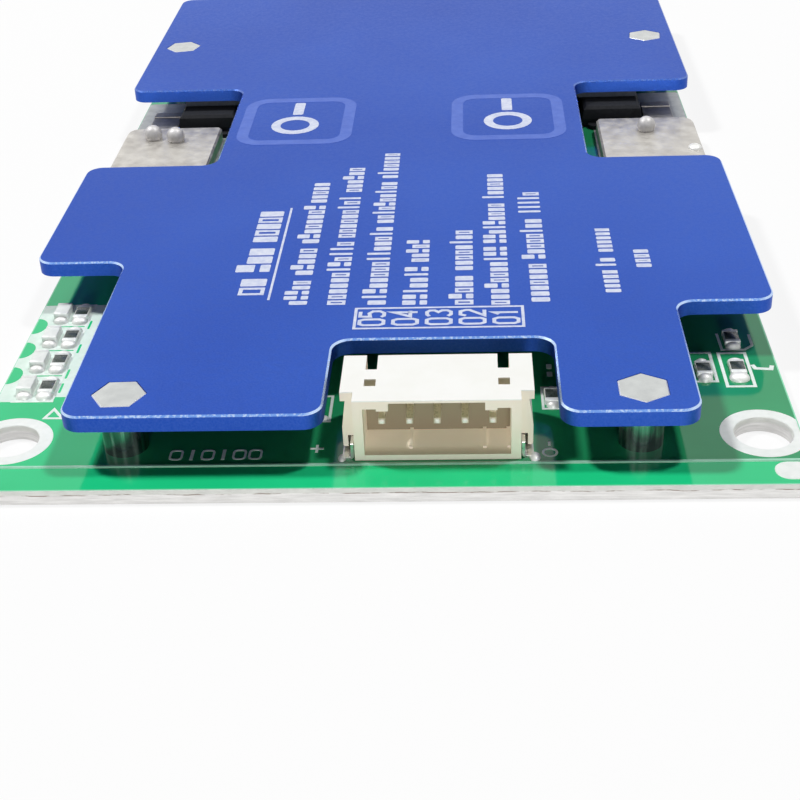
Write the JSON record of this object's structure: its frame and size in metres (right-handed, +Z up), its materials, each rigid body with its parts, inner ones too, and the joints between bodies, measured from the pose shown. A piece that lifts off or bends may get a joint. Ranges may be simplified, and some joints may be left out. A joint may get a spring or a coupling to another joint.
{
  "type": "battery management board",
  "caption": "Flat battery protection board with a metal base, a heat plate on standoffs, a side-entry sense header and soldered power terminals.",
  "frame": {"origin": "middle of the board's underside", "axes": "+Y from the header's end to the far end along the board, +Z up out of the component side, +X across the board to the right when seen from the header's end"},
  "size_m": [0.0616, 0.108, 0.0063],
  "materials": {
    "board": "glossy green solder mask on an aluminium base",
    "plate": "blue anodised, satin",
    "standoff": "bright plated",
    "screw": "plated",
    "header": "moulded, off-white",
    "tin": "tinned",
    "terminal": "tinned copper, dull",
    "solder": "bright solder",
    "transistor": "moulded black with tinned leads",
    "heat_pad": "soft grey pad",
    "shunt": "metal strip",
    "chip": "moulded black with tinned leads",
    "resistor": "dark glazed top, metal ends",
    "capacitor": "pale ceramic, metal ends"
  },
  "bodies": {
    "root": {"base_board": "board", "board_screw_front_left": "screw", "board_screw_front_right": "screw", "board_screw_rear_left": "screw", "board_screw_rear_right": "screw", "cell_capacitor_1": "capacitor", "cell_capacitor_2": "capacitor", "cell_capacitor_3": "capacitor", "cell_capacitor_4": "capacitor", "cell_resistor_1": "resistor", "cell_resistor_2": "resistor", "cell_resistor_3": "resistor", "cell_resistor_4": "resistor", "charge_transistor_1": "transistor", "charge_transistor_2": "transistor", "charge_transistor_3": "transistor", "charge_transistor_4": "transistor", "charge_transistor_5": "transistor", "charge_transistor_6": "transistor", "corner_resistor_1": "resistor", "corner_resistor_2": "resistor", "corner_resistor_3": "resistor", "discharge_transistor_1": "transistor", "discharge_transistor_2": "transistor", "discharge_transistor_3": "transistor", "discharge_transistor_4": "transistor", "discharge_transistor_5": "transistor", "discharge_transistor_6": "transistor", "header_capacitor": "capacitor", "header_housing": "header", "header_pin_1": "tin", "header_pin_2": "tin", "header_pin_3": "tin", "header_pin_4": "tin", "header_pin_5": "tin", "header_resistor": "resistor", "header_tab_left": "tin", "header_tab_right": "tin", "heat_pad_front": "heat_pad", "heat_pad_rear": "heat_pad", "heat_plate": "plate", "protection_chip": "chip", "shunt_left": "shunt", "shunt_right": "shunt", "standoff_front_left": "standoff", "standoff_front_right": "standoff", "standoff_rear_left": "standoff", "standoff_rear_right": "standoff", "supply_capacitor_1": "capacitor", "supply_capacitor_2": "capacitor", "terminal_bar_left": "terminal", "terminal_bar_right": "terminal", "terminal_dot_left_1": "solder", "terminal_dot_left_2": "solder", "terminal_dot_right": "solder"}
  },
  "joints": []
}
